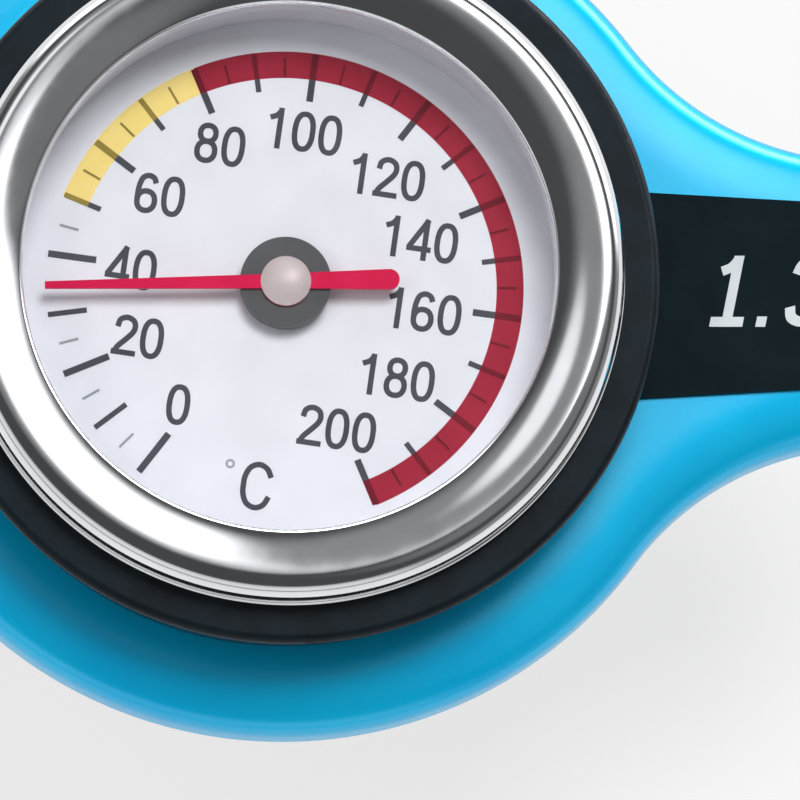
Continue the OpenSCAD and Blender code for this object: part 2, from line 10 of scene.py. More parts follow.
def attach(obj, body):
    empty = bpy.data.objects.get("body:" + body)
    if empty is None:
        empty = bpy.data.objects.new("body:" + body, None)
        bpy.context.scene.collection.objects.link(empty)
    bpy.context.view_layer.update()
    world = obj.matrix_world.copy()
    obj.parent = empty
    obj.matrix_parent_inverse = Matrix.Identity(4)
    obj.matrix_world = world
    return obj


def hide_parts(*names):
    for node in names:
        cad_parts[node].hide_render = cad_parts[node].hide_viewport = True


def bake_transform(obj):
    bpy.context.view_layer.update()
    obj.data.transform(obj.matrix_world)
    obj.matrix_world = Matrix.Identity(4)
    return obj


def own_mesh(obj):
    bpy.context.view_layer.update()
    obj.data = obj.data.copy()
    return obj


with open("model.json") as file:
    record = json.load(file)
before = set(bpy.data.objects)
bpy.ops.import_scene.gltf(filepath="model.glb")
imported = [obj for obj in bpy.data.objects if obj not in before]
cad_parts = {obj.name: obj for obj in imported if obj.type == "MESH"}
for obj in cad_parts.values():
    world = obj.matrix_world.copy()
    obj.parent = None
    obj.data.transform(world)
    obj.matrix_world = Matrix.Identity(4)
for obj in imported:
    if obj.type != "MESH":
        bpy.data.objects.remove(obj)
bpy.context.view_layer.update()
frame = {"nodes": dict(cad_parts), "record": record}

MM = 0.001
TURN = 2 * math.pi

# Sizes in millimetres, the same as the solids have
COVER_R = 23.8
COVER_BORE_R = 22.55
COVER_Z = 6.0
EDGE_Z = 2.25
SHELL_TOP_Z = 4.0
EDGE_ROUND_R = 2.25
EDGE_BEVEL = 0.35
EAR_SPAN = 68.0
EAR_W = 15.5
EAR_BLEND_R = 16.0
EAR_CORNER_R = 5.0
STUD_HOLE_R = 3.65
LABEL_TOP_Z = 6.3
DIAL_Z = 8.8
LENS_TOP_Z = 13.3
LENS_SEAT_R = 16.635
CASE_SEAT_R = 17.285
CASE_SEAT_Z = 12.55
WINDOW_R = 14.2
BEZEL_SKIRT_R = 17.885
BEZEL_FOOT_Z = 9.9
BEZEL_BEAD_R = 0.33
BEZEL_ROLL_R = 1.2
BEZEL_RISE = 2.2
BEZEL_LIP_H = 1.6
BEZEL_LIP_R = 0.4
SPRING_SEAT_Z = 1.3
VALVE_TOP_Z = -13.4
SPRING_R = 9.2
SPRING_WIRE = 1.8
VACUUM_COLLAR_Z = -8.6
VACUUM_WIRE = 0.6
PLUG_TOP_Z = -27.0
COIL_COLLAR_Z = -14.0
COIL_R = 1.4
COIL_TURNS = 12
PROBE_TIP_Z = -31.0

# The cover's shoulder: an oval, softer than the solid's round edge and within 0.1 mm of it
SHOULDER_W = 4.5
SHOULDER_POWER = 3.0

# Springs with close end turns, and the bimetal coil's flat strip, in millimetres and turns.
# The vacuum spring is round, with a radius between the least and the most of its solid's eight-sided turns.
VACUUM_SPRING_R = 5.75
SPRING_END_TURNS = 0.75
SPRING_END_PITCH = 0.98 * SPRING_WIRE
SPRING_FREE_TURNS = 3.25
VACUUM_END_PITCH = 1.02 * VACUUM_WIRE
VACUUM_FREE_TURNS = 2.25
STRIP_HALF_W = 0.16
STRIP_HALF_H = 0.3
STRIP_POWER = 5.0
STRIP_END_TURNS = 0.25
STRIP_END_PITCH = 0.7

# Steps of the round meshes
CORNER_STEPS = 24
BLEND_STEPS = 32
BODY_STEPS = 32
SHOULDER_STEPS = 28
LATHE_STEPS = 256

# The scale on the dial: degrees of angle, anticlockwise from the right ear, and degrees Celsius
SCALE_ZERO = 232.0
SCALE_STEP = 1.5
SCALE_END = 200
RED_FROM = 80
YELLOW_FROM = 50
ARC_IN_R = 11.4
ARC_OUT_R = 12.85
LONG_TICK_IN_R = 10.2
LONG_TICK_W = 0.36
TICK_IN_R = 10.7
TICK_W = 0.28
TICK_OUT_R = 12.8
FINE_IN_R = 11.45
FINE_OUT_R = 12.5
FINE_W = 0.13

# The print: sizes in millimetres, but pitches and widths in heights of a figure
INK_T = 0.03
FIGURE_W = 0.51
NARROW_MARKS = ".o"
NARROW_SHARE = 0.5
STROKE = 0.30
PRINT_TILT = -8.5
DIGIT_H = 2.25
DIGIT_PITCH = 0.64
DIGIT_WIDEN = 1.15
UNIT_H = 2.75
UNIT_WIDEN = 1.1
UNIT_PLACE = Vector((-1.75, -10.85))
DEGREE_STROKE = 0.13
DEGREE_OFF = Vector((-1.95, -1.15))
LABEL_TEXT = "1.3"
LABEL_FIGURE_H = 3.9
LABEL_STROKE = 0.54
LABEL_PITCH = 0.72
LABEL_SLANT = 0.21
LABEL_PLACE = Vector((22.75, -1.75))
NUMERAL_R = 9.65
# Each numeral of the scale, and how many degrees of angle it stands off its tick
NUMERAL_LEAN = {
    0: -3.7, 20: -2.6, 40: 1.2, 60: 1.2, 80: 1.8, 100: 0.6,
    120: -4.9, 140: -2.7, 160: -2.5, 180: -2.0, 200: -2.4,
}

# Light levels, where one renders a colour as it is written
PLAIN_LEVEL = 0.3
DARK_LEVEL = 0.07
FLOOR_GLOW = 0.72
# The screens that shiny surfaces mirror, with bearings from the right ear and rises, both in degrees.
# Each span goes from where a screen's light starts to where it is full, in cosines, sines or slopes.
BIG_SCREEN = {
    "bearing": 46, "level": 2.8,
    "forward": (0.12, 0.32), "side": (0.74, 0.42), "height": (0.56, 0.82),
}
ROUND_SCREENS = (
    {"bearing": 129, "rise": 61, "level": 0.8, "span": (0.978, 0.995)},
    {"bearing": 104, "rise": 62, "level": 0.22, "span": (0.86, 0.97)},
    {"bearing": -14, "rise": 58, "level": 0.12, "span": (0.88, 0.97)},
)
HORIZON = {"level": 0.2, "height": (0.5, 0.2)}
FAR_BAND = {"bearing": 72, "level": 9.0, "height": (0.42, 0.16), "side": (0.45, 0.85)}
NEAR_BAND = {"bearing": 240, "level": 0.6, "height": (0.56, 0.4), "foot": (0.02, 0.15), "side": (0.3, 0.7)}
SHINY_TINT = (0.98, 0.985, 1.0, 1)
PLAIN_TINT = (1.0, 0.985, 0.985, 1)
WHITE = (1, 1, 1, 1)

# The lamps: bearing and rise in degrees, distance and size in metres, power in watts
LAMP_DISTANCE = 0.62
LAMPS = {
    "key": {"bearing": 68, "rise": 72, "size": 0.24, "power": 2.66},
    "fill": {"bearing": 180, "rise": 62, "size": 0.34, "power": 0.5},
}

# The floor, in metres: half its side, and its gap to the probe
FLOOR_HALF = 3.0
FLOOR_GAP = 0.0002

# The camera: degrees off the cap's axis, bearing in degrees, metres, and lens and sensor in millimetres
CAMERA_TILT = 10.5
CAMERA_BEARING = 252
CAMERA_DISTANCE = 0.6
CAMERA_TARGET = Vector((6.14, -6.2, DIAL_Z))
CAMERA_LENS = 503.82
CAMERA_SENSOR = 36
CAMERA_CLIP = (0.01, 20)


def link(obj):
    bpy.context.scene.collection.objects.link(obj)
    return obj


def finish_mesh(name, mesh, material, body, replaced=None):
    """Makes an object of a mesh in millimetres, which rides on a body and may stand for a node."""
    mesh.transform(Matrix.Scale(MM, 4))
    mesh.materials.append(material)
    obj = link(bpy.data.objects.new(name, mesh))
    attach(obj, body)
    if replaced:
        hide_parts(replaced)
    return obj


# Shader nodes


def math_node(tree, operation, *values):
    """A sum or function of numbers and of other nodes' outputs."""
    node = tree.nodes.new("ShaderNodeMath")
    node.operation = operation
    for socket, value in zip(node.inputs, values):
        if isinstance(value, (int, float)):
            socket.default_value = value
        else:
            tree.links.new(value, socket)
    return node.outputs[0]


def mix_shaders(tree, share, first, second):
    """The first shader where the share is nought, and the second where it is one."""
    node = tree.nodes.new("ShaderNodeMixShader")
    tree.links.new(share, node.inputs["Fac"])
    tree.links.new(first.outputs[0], node.inputs[1])
    tree.links.new(second.outputs[0], node.inputs[2])
    return node


def rays(tree, *kinds):
    """One for rays of any of the kinds, and else nought."""
    path = tree.nodes.new("ShaderNodeLightPath")
    total = path.outputs[kinds[0]]
    for kind in kinds[1:]:
        total = math_node(tree, "MAXIMUM", total, path.outputs[kind])
    return total


# Materials


class Surface:
    """A node material with one Principled shader, and what is added to it."""

    # The middle of a noise's values, over which colour and roughness run
    COLOUR_SPAN = (0.35, 0.65)
    ROUGHNESS_SPAN = (0.3, 0.7)

    def __init__(self, name, colour, metallic=0.0, roughness=0.5, **sockets):
        self.material = bpy.data.materials.new(name)
        self.material.use_nodes = True
        self.tree = self.material.node_tree
        self.nodes = self.tree.nodes
        self.links = self.tree.links
        self.shader = self.nodes["Principled BSDF"]
        self.set("Base Color", (*colour, 1))
        self.set("Metallic", metallic)
        self.set("Roughness", roughness)
        for socket, value in sockets.items():
            self.set(socket.replace("_", " "), value)
        self.place = self.nodes.new("ShaderNodeTexCoord").outputs["Object"]

    def set(self, socket, value):
        self.shader.inputs[socket].default_value = value

    def polar(self, scale):
        """Coordinates of radius, angle and height about the cap's axis, each scaled."""
        split = self.nodes.new("ShaderNodeSeparateXYZ")
        self.links.new(self.place, split.inputs[0])
        x, y, z = (split.outputs[axis] for axis in "XYZ")
        square = math_node(self.tree, "ADD", *(math_node(self.tree, "MULTIPLY", v, v) for v in (x, y)))
        radius = math_node(self.tree, "SQRT", square)
        angle = math_node(self.tree, "ARCTAN2", y, x)
        join = self.nodes.new("ShaderNodeCombineXYZ")
        for socket, source, times in zip(join.inputs, (radius, angle, z), scale):
            self.links.new(math_node(self.tree, "MULTIPLY", source, times), socket)
        return join.outputs[0]

    def noise(self, scale, detail=3.0, place=None):
        node = self.nodes.new("ShaderNodeTexNoise")
        node.inputs["Scale"].default_value = scale
        node.inputs["Detail"].default_value = detail
        self.links.new(place or self.place, node.inputs["Vector"])
        return node.outputs["Fac"]

    def vary_colour(self, fac, dark, light):
        """Colour that runs between two tints as a pattern does."""
        ramp = self.nodes.new("ShaderNodeValToRGB")
        for stop, position, colour in zip(ramp.color_ramp.elements, self.COLOUR_SPAN, (dark, light)):
            stop.position = position
            stop.color = (*colour, 1)
        self.links.new(fac, ramp.inputs[0])
        self.links.new(ramp.outputs[0], self.shader.inputs["Base Color"])
        return self

    def vary_roughness(self, fac, low, high):
        """Roughness that runs between two values as a pattern does."""
        span = self.nodes.new("ShaderNodeMapRange")
        span.inputs["From Min"].default_value = self.ROUGHNESS_SPAN[0]
        span.inputs["From Max"].default_value = self.ROUGHNESS_SPAN[1]
        span.inputs["To Min"].default_value = low
        span.inputs["To Max"].default_value = high
        self.links.new(fac, span.inputs["Value"])
        self.links.new(span.outputs["Result"], self.shader.inputs["Roughness"])
        return self

    def bump(self, fac, strength, depth):
        """Relief of a depth in millimetres."""
        node = self.nodes.new("ShaderNodeBump")
        node.inputs["Strength"].default_value = strength
        node.inputs["Distance"].default_value = depth * MM
        self.links.new(fac, node.inputs["Height"])
        self.links.new(node.outputs["Normal"], self.shader.inputs["Normal"])
        return self


def anodised():
    """Blue metal under a clear hard film, with a fine matt grain."""
    film = {"Coat_Weight": 0.5, "Coat_Roughness": 0.17, "Coat_IOR": 1.9, "Specular_IOR_Level": 0.0}
    s = Surface("anodised_blue", (0.0, 0.565, 0.985), metallic=0.38, roughness=0.4, **film)
    grain = s.noise(scale=5200, detail=2.0)
    s.vary_colour(s.noise(scale=160), dark=(0.0, 0.545, 0.98), light=(0.002, 0.585, 0.99))
    s.vary_roughness(grain, low=0.37, high=0.47)
    return s.bump(grain, strength=0.25, depth=0.004).material


def rubber(name, colour, roughness, grain_scale):
    """Moulded rubber, a little cloudy."""
    s = Surface(name, colour, roughness=roughness, Specular_IOR_Level=0.18)
    grain = s.noise(grain_scale)
    dark, light = (tuple(share * c for c in colour) for share in (0.8, 1.25))
    s.vary_colour(s.noise(scale=420, detail=4.0), dark, light)
    s.vary_roughness(grain, low=roughness - 0.06, high=roughness + 0.08)
    return s.bump(grain, strength=0.35, depth=0.012).material


def chrome():
    """Polished plating with faint waves."""
    s = Surface("chrome", (0.80, 0.81, 0.83), metallic=1.0, roughness=0.11)
    s.vary_colour(s.noise(scale=300, detail=2.0), dark=(0.78, 0.79, 0.81), light=(0.83, 0.84, 0.86))
    s.vary_roughness(s.noise(scale=900, detail=4.0), low=0.09, high=0.13)
    return s.bump(s.noise(scale=240, detail=1.0), strength=0.12, depth=0.012).material


def turned(name, dark, light, low, high, metallic=1.0):
    """Metal with the fine rings that a lathe leaves."""
    s = Surface(name, light, metallic, roughness=(low + high) / 2)
    rings = s.noise(scale=1.0, detail=2.0, place=s.polar((5200, 1.2, 5200)))
    s.vary_colour(s.noise(scale=260, detail=4.0), dark, light)
    s.vary_roughness(rings, low, high)
    return s.bump(rings, strength=0.3, depth=0.006).material


def plated():
    """Zinc plating with its dull bloom."""
    s = Surface("plated_steel", (0.50, 0.50, 0.49), metallic=1.0, roughness=0.3)
    s.vary_colour(s.noise(scale=520, detail=5.0), dark=(0.46, 0.46, 0.45), light=(0.54, 0.54, 0.52))
    fine = s.noise(scale=2400)
    s.vary_roughness(fine, low=0.24, high=0.38)
    return s.bump(fine, strength=0.3, depth=0.006).material


def drawn_wire():
    """Spring steel with lines along the wire."""
    s = Surface("spring_steel", (0.42, 0.43, 0.45), metallic=1.0, roughness=0.3)
    s.vary_colour(s.noise(scale=700, detail=4.0), dark=(0.32, 0.33, 0.35), light=(0.48, 0.49, 0.50))
    lines = s.noise(scale=1.0, detail=2.0, place=s.polar((9000, 14, 9000)))
    s.vary_roughness(lines, low=0.22, high=0.36)
    return s.bump(lines, strength=0.3, depth=0.008).material


def painted(name, dark, light, roughness, grain_scale=2600, shine=0.3):
    """Paint, print or moulded plastic: two close tints and a fine grain."""
    s = Surface(name, light, roughness=roughness, Specular_IOR_Level=shine)
    grain = s.noise(grain_scale)
    s.vary_colour(s.noise(scale=340), dark, light)
    s.vary_roughness(grain, low=roughness - 0.05, high=roughness + 0.07)
    return s.bump(grain, strength=0.2, depth=0.004).material


def clear_glass():
    """A lens that mirrors a little on its outside and lets the lamps through to the dial."""
    material = bpy.data.materials.new("lens_glass")
    material.use_nodes = True
    tree = material.node_tree
    tree.nodes.remove(tree.nodes["Principled BSDF"])
    through = tree.nodes.new("ShaderNodeBsdfTransparent")
    through.inputs["Color"].default_value = (0.985, 0.99, 0.995, 1)
    mirror = tree.nodes.new("ShaderNodeBsdfGlossy")
    mirror.inputs["Roughness"].default_value = 0.03
    share = tree.nodes.new("ShaderNodeFresnel")
    share.inputs["IOR"].default_value = 1.25
    backfacing = tree.nodes.new("ShaderNodeNewGeometry").outputs["Backfacing"]
    outside = math_node(tree, "SUBTRACT", 1.0, backfacing)
    seen = math_node(tree, "MULTIPLY", share.outputs[0], outside)
    mix = mix_shaders(tree, seen, through, mirror)
    tree.links.new(mix.outputs[0], tree.nodes["Material Output"].inputs["Surface"])
    return material


LOOKS = {
    "anodised_blue": anodised(),
    "label_black": painted("label_black", (0.004, 0.010, 0.014), (0.006, 0.014, 0.018), 0.36, 1900, 0.06),
    "plated_steel": plated(),
    "spring_steel": drawn_wire(),
    "boot_rubber": rubber("boot_rubber", (0.007, 0.012, 0.016), 0.36, 1500),
    "seal_rubber": rubber("seal_rubber", (0.011, 0.011, 0.012), 0.62, 1200),
    "chrome": chrome(),
    "lens_glass": clear_glass(),
    "spacer_white": painted("spacer_white", (0.76, 0.78, 0.85), (0.82, 0.84, 0.91), 0.35),
    "dial_white": painted("dial_white", (0.79, 0.79, 0.835), (0.84, 0.84, 0.885), 0.4),
    "needle_red": painted("needle_red", (0.62, 0.010, 0.065), (0.70, 0.014, 0.080), 0.35, shine=0.15),
    "hub_grey": painted("hub_grey", (0.075, 0.075, 0.08), (0.10, 0.10, 0.105), 0.42),
    "brass": turned("brass", (0.56, 0.40, 0.16), (0.66, 0.49, 0.22), 0.2, 0.34),
}
INK_DARK = painted("ink_dark", (0.060, 0.062, 0.076), (0.078, 0.081, 0.096), 0.5)
INK_GREY = painted("ink_grey", (0.30, 0.32, 0.35), (0.36, 0.38, 0.41), 0.5)
INK_RED = painted("ink_red", (0.34, 0.021, 0.043), (0.385, 0.027, 0.052), 0.5, shine=0.15)
INK_DEEP_RED = painted("ink_deep_red", (0.15, 0.012, 0.022), (0.19, 0.016, 0.028), 0.5, shine=0.15)
INK_YELLOW = painted("ink_yellow", (0.96, 0.74, 0.23), (1.0, 0.78, 0.28), 0.5, shine=0.15)
INK_DEEP_YELLOW = painted("ink_deep_yellow", (0.30, 0.22, 0.05), (0.36, 0.27, 0.07), 0.5, shine=0.15)
INK_PALE = painted("ink_pale", (0.62, 0.68, 0.71), (0.70, 0.75, 0.78), 0.4)
# The needle's boss is duller than the chrome of its slot
SATIN = turned("satin_silver", (0.72, 0.61, 0.60), (0.80, 0.68, 0.67), 0.38, 0.5, metallic=0.3)

for part in frame["record"]["subparts"]:
    slots = frame["nodes"][part["node"]].data.materials
    slots.clear()
    slots.append(SATIN if part["node"] == "hub_boss" else LOOKS[part["material_slot"]])


# The cover: the solid's outline on a fine mesh


def arc_run(centre, radius, start, end, steps, out=1):
    """Points of an arc with their outward directions, without the first."""
    run = []
    for i in range(1, steps + 1):
        a = start + (end - start) * i / steps
        along = Vector((math.cos(a), math.sin(a)))
        run.append((centre + radius * along, out * along))
    return run


def cover_outline(inset):
    """The cover's outline drawn in by an inset: points and outward directions, anticlockwise."""
    blend_y = EAR_W / 2 + EAR_BLEND_R
    blend_x = math.sqrt((COVER_R + EAR_BLEND_R) ** 2 - blend_y**2)
    corner_x = EAR_SPAN / 2 - EAR_CORNER_R
    reach = EAR_BLEND_R + EAR_CORNER_R
    corner_y = blend_y - math.sqrt(reach**2 - (blend_x - corner_x) ** 2)
    body_a = math.atan2(blend_y, blend_x)
    corner_a = math.acos((blend_x - corner_x) / reach)
    corner = Vector((corner_x, corner_y))
    blend = Vector((blend_x, blend_y))
    tip = (corner + Vector((EAR_CORNER_R - inset, 0)), Vector((1, 0)))
    quarter = [tip]
    quarter += arc_run(corner, EAR_CORNER_R - inset, 0, corner_a, CORNER_STEPS)
    quarter += arc_run(blend, EAR_BLEND_R + inset, corner_a + math.pi, body_a + math.pi, BLEND_STEPS, -1)
    quarter += arc_run(Vector((0, 0)), COVER_R - inset, body_a, math.pi / 2, BODY_STEPS)

    def flipped(run, x, y):
        return [(Vector((p.x * x, p.y * y)), Vector((n.x * x, n.y * y))) for p, n in run]

    back = quarter[-2::-1]
    return quarter + flipped(back, -1, 1) + flipped(quarter, -1, -1) + flipped(back, 1, -1)


def skin(name, rings, bands):
    """A closed mesh over rings of points, the last joined to the first.
    Each band has the normals at its own two rings, so that an edge can be sharp or smooth."""
    count = len(rings[0])
    points = [p for ring in rings for p in ring]
    faces = []
    normals = []
    for k, (low, high) in enumerate(bands):
        here = k * count
        there = (k + 1) % len(rings) * count
        for i in range(count):
            j = (i + 1) % count
            faces.append((here + i, here + j, there + j, there + i))
            normals += [low[i], low[j], high[j], high[i]]
    mesh = bpy.data.meshes.new(name)
    mesh.from_pydata(points, [], faces)
    mesh.shade_smooth()
    mesh.normals_split_custom_set(normals)
    return mesh


def make_cover():
    outer = cover_outline(0)
    angles = [math.atan2(p.y, p.x) for p, n in outer]

    def ring_of(inset, z):
        return [Vector((p.x, p.y, z)) for p, n in cover_outline(inset)]

    def circle(radius, z):
        return [Vector((radius * math.cos(a), radius * math.sin(a), z)) for a in angles]

    def leaning(rise):
        """Normals of the outline, leaning up by an angle."""
        c, s = math.cos(rise), math.sin(rise)
        return [Vector((n.x * c, n.y * c, s)) for p, n in outer]

    def towards_axis():
        return [Vector((-math.cos(a), -math.sin(a), 0)) for a in angles]

    up = [Vector((0, 0, 1))] * len(outer)
    down = [Vector((0, 0, -1))] * len(outer)
    rings = [ring_of(EDGE_BEVEL, EDGE_Z), ring_of(0, EDGE_Z + EDGE_BEVEL)]
    bands = [(leaning(-math.pi / 4), leaning(-math.pi / 4))]
    last = leaning(0)
    slope = SHOULDER_POWER - 1
    for i in range(SHOULDER_STEPS + 1):
        a = math.pi / 2 * i / SHOULDER_STEPS
        out = max(math.cos(a), 0.0) ** (2 / SHOULDER_POWER)
        rise = math.sin(a) ** (2 / SHOULDER_POWER)
        rings.append(ring_of(SHOULDER_W * (1 - out), COVER_Z - EDGE_ROUND_R * (1 - rise)))
        steep = leaning(math.atan2(rise**slope / EDGE_ROUND_R, out**slope / SHOULDER_W))
        bands.append((last, steep))
        last = steep
    rings.append(circle(STUD_HOLE_R, COVER_Z))
    bands.append((up, up))
    rings.append(circle(STUD_HOLE_R, SHELL_TOP_Z))
    bands.append((towards_axis(), towards_axis()))
    rings.append(circle(COVER_BORE_R, SHELL_TOP_Z))
    bands.append((down, down))
    rings.append(circle(COVER_BORE_R, EDGE_Z))
    bands.append((towards_axis(), towards_axis()))
    bands.append((down, down))
    mesh = skin("anodised_cover", rings, bands)
    finish_mesh("anodised_cover", mesh, LOOKS["anodised_blue"], "cap", "cover")


make_cover()


# The bezel: the solid's profile, turned on a fine mesh


def lathe(name, runs):
    """A closed mesh turned about the cap's axis. Each run has points and normals, of radius and height,
    and the runs go up the outside and down the inside."""
    angles = [TURN * i / LATHE_STEPS for i in range(LATHE_STEPS)]

    def turn(v):
        return [Vector((v[0] * math.cos(a), v[0] * math.sin(a), v[1])) for a in angles]

    rings = []
    bands = []
    for run in runs:
        for (here, start), (_, end) in zip(run, run[1:]):
            rings.append(turn(here))
            bands.append((turn(start), turn(end)))
    return skin(name, rings, bands)


def curve(centre, radius, start, end, steps):
    """A run along an arc, from one angle in degrees to another."""
    first = math.radians(start)
    last = math.radians(end)
    along = Vector((math.cos(first), math.sin(first)))
    return [(centre + radius * along, along), *arc_run(centre, radius, first, last, steps)]


def straight(start, end):
    """A run along a line, with its normal on the right."""
    d = (end - start).normalized()
    normal = Vector((d.y, -d.x))
    return [(start, normal), (end, normal)]


def make_bezel():
    bead_bite = BEZEL_BEAD_R / 2
    bead_span = 60
    crest_r = BEZEL_SKIRT_R - BEZEL_ROLL_R
    crest_z = LENS_TOP_Z + BEZEL_RISE
    drop = BEZEL_RISE - BEZEL_LIP_H
    dome_r = ((crest_r - WINDOW_R) ** 2 + drop**2) / (2 * drop)
    lip_x = WINDOW_R + BEZEL_LIP_R
    lip_z = crest_z - dome_r + math.sqrt((dome_r - BEZEL_LIP_R) ** 2 - (crest_r - lip_x) ** 2)
    lean = math.degrees(math.atan2(lip_z - crest_z + dome_r, lip_x - crest_r))
    corners = [
        Vector((WINDOW_R, lip_z)),
        Vector((WINDOW_R, LENS_TOP_Z)),
        Vector((LENS_SEAT_R, LENS_TOP_Z)),
        Vector((LENS_SEAT_R, CASE_SEAT_Z)),
        Vector((CASE_SEAT_R, CASE_SEAT_Z)),
        Vector((CASE_SEAT_R, BEZEL_FOOT_Z)),
        Vector((BEZEL_SKIRT_R, BEZEL_FOOT_Z)),
    ]
    bead_centre = Vector((BEZEL_SKIRT_R - bead_bite, LENS_TOP_Z - BEZEL_BEAD_R))
    bead = curve(bead_centre, BEZEL_BEAD_R, -bead_span, bead_span, steps=12)
    roll = curve(Vector((crest_r, crest_z - BEZEL_ROLL_R)), BEZEL_ROLL_R, 0, 90, steps=24)
    dome = curve(Vector((crest_r, crest_z - dome_r)), dome_r, 90, lean, steps=24)
    lip = curve(Vector((lip_x, lip_z)), BEZEL_LIP_R, lean, 180, steps=16)
    runs = [straight(corners[-1], bead[0][0]), bead, straight(bead[-1][0], roll[0][0]), roll, dome, lip]
    runs += [straight(a, b) for a, b in zip(corners, corners[1:])]
    mesh = lathe("chrome_bezel", runs)
    finish_mesh("chrome_bezel", mesh, LOOKS["chrome"], "cap", "bezel")


make_bezel()


# Springs and the bimetal coil: wires along a path, with flat closed ends


def oval(angle, half_w, half_h, power):
    """A point of an oval, which is round at a power of two and squarish above."""
    c, s = math.cos(angle), math.sin(angle)
    x = math.copysign(abs(c) ** (2 / power), c) * half_w
    y = math.copysign(abs(s) ** (2 / power), s) * half_h
    return x, y


def wire_mesh(name, path, half_w, half_h, sides, power=2.0):
    """A wire whose section is an oval, set square to its path."""
    sharp_angle = 50
    rings = []
    for i, p in enumerate(path):
        behind = path[max(i - 1, 0)]
        ahead = path[min(i + 1, len(path) - 1)]
        heading = (ahead - behind).normalized()
        out = Vector((p.x, p.y, 0)).normalized()
        across = heading.cross(out).normalized()
        out = across.cross(heading)
        ring = []
        for s in range(sides):
            x, y = oval(TURN * s / sides, half_w, half_h, power)
            ring.append(p + x * out + y * across)
        rings.append(ring)
    build = bmesh.new()
    made = [[build.verts.new(v) for v in ring] for ring in rings]
    for low, high in zip(made, made[1:]):
        for i in range(sides):
            j = (i + 1) % sides
            build.faces.new((low[i], low[j], high[j], high[i]))
    build.faces.new(made[0][::-1])
    build.faces.new(made[-1])
    bmesh.ops.recalc_face_normals(build, faces=build.faces)
    mesh = bpy.data.meshes.new(name)
    build.to_mesh(mesh)
    build.free()
    mesh.shade_smooth()
    mesh.set_sharp_from_angle(angle=math.radians(sharp_angle))
    return mesh


def coil_path(radius, low, high, end_turns, end_pitch, turns, steps):
    """Centre line of a coil whose end turns lie close and whose other turns share the rest of its height."""
    total = turns + 2 * end_turns
    count = round(total * steps)
    rise = (high - low - 2 * end_turns * end_pitch) / turns
    path = []
    for i in range(count + 1):
        t = total * i / count
        lower = min(t, end_turns)
        middle = min(max(t - end_turns, 0), turns)
        upper = max(t - end_turns - turns, 0)
        z = low + end_pitch * (lower + upper) + rise * middle
        a = TURN * t
        path.append(Vector((radius * math.cos(a), radius * math.sin(a), z)))
    return path


def make_pressure_spring():
    half = SPRING_WIRE / 2
    low, high = VALVE_TOP_Z + half, SPRING_SEAT_Z - half
    path = coil_path(SPRING_R, low, high, SPRING_END_TURNS, SPRING_END_PITCH, SPRING_FREE_TURNS, steps=64)
    mesh = wire_mesh("pressure_coil", path, half, half, sides=20)
    steel = LOOKS["spring_steel"]
    coil = finish_mesh("pressure_coil", mesh, steel, "valve_head", "pressure_spring")
    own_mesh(coil)


def make_vacuum_spring():
    half = VACUUM_WIRE / 2
    low, high = VALVE_TOP_Z + half, VACUUM_COLLAR_Z - half
    path = coil_path(
        VACUUM_SPRING_R, low, high, SPRING_END_TURNS, VACUUM_END_PITCH, VACUUM_FREE_TURNS, steps=56
    )
    mesh = wire_mesh("vacuum_coil", path, half, half, sides=14)
    steel = LOOKS["spring_steel"]
    coil = finish_mesh("vacuum_coil", mesh, steel, "pressure_valve", "vacuum_spring")
    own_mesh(coil)


def make_bimetal_strip():
    """A flat strip coiled from the plug at its foot up to the collar that turns with the pointer. It rides
    on no body.
    """
    low, high = PLUG_TOP_Z + STRIP_HALF_H, COIL_COLLAR_Z - STRIP_HALF_H
    path = coil_path(COIL_R, low, high, STRIP_END_TURNS, STRIP_END_PITCH, COIL_TURNS, steps=40)
    mesh = wire_mesh("bimetal_strip", path, STRIP_HALF_W, STRIP_HALF_H, sides=12, power=STRIP_POWER)
    mesh.transform(Matrix.Scale(MM, 4))
    mesh.materials.append(LOOKS["spring_steel"])
    strip = link(bpy.data.objects.new("bimetal_strip", mesh))
    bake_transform(strip)
    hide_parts("bimetal_coil")


make_pressure_spring()
make_vacuum_spring()
make_bimetal_strip()


# Print on the dial and the label: thin solids of ink, drawn with strokes


def ring_points(cx, cy, a, b, steps=40, power=2.0):
    """A closed oval, as a run of points that ends where it starts."""
    run = []
    for i in range(steps + 1):
        x, y = oval(TURN * i / steps, a, b, power)
        run.append(Vector((cx + x, cy + y)))
    return run


def smooth_run(points, steps=8):
    """A smooth curve through points."""
    pts = [Vector(p) for p in points]
    pts = [2 * pts[0] - pts[1], *pts, 2 * pts[-1] - pts[-2]]
    run = [pts[1]]
    for a, b, c, d in zip(pts, pts[1:], pts[2:], pts[3:]):
        for i in range(1, steps + 1):
            t = i / steps
            near = 2 * b + (c - a) * t
            far = (2 * a - 5 * b + 4 * c - d) * t**2 + (3 * b - a - 3 * c + d) * t**3
            run.append((near + far) / 2)
    return run


def line(*points):
    return [Vector(p) for p in points]


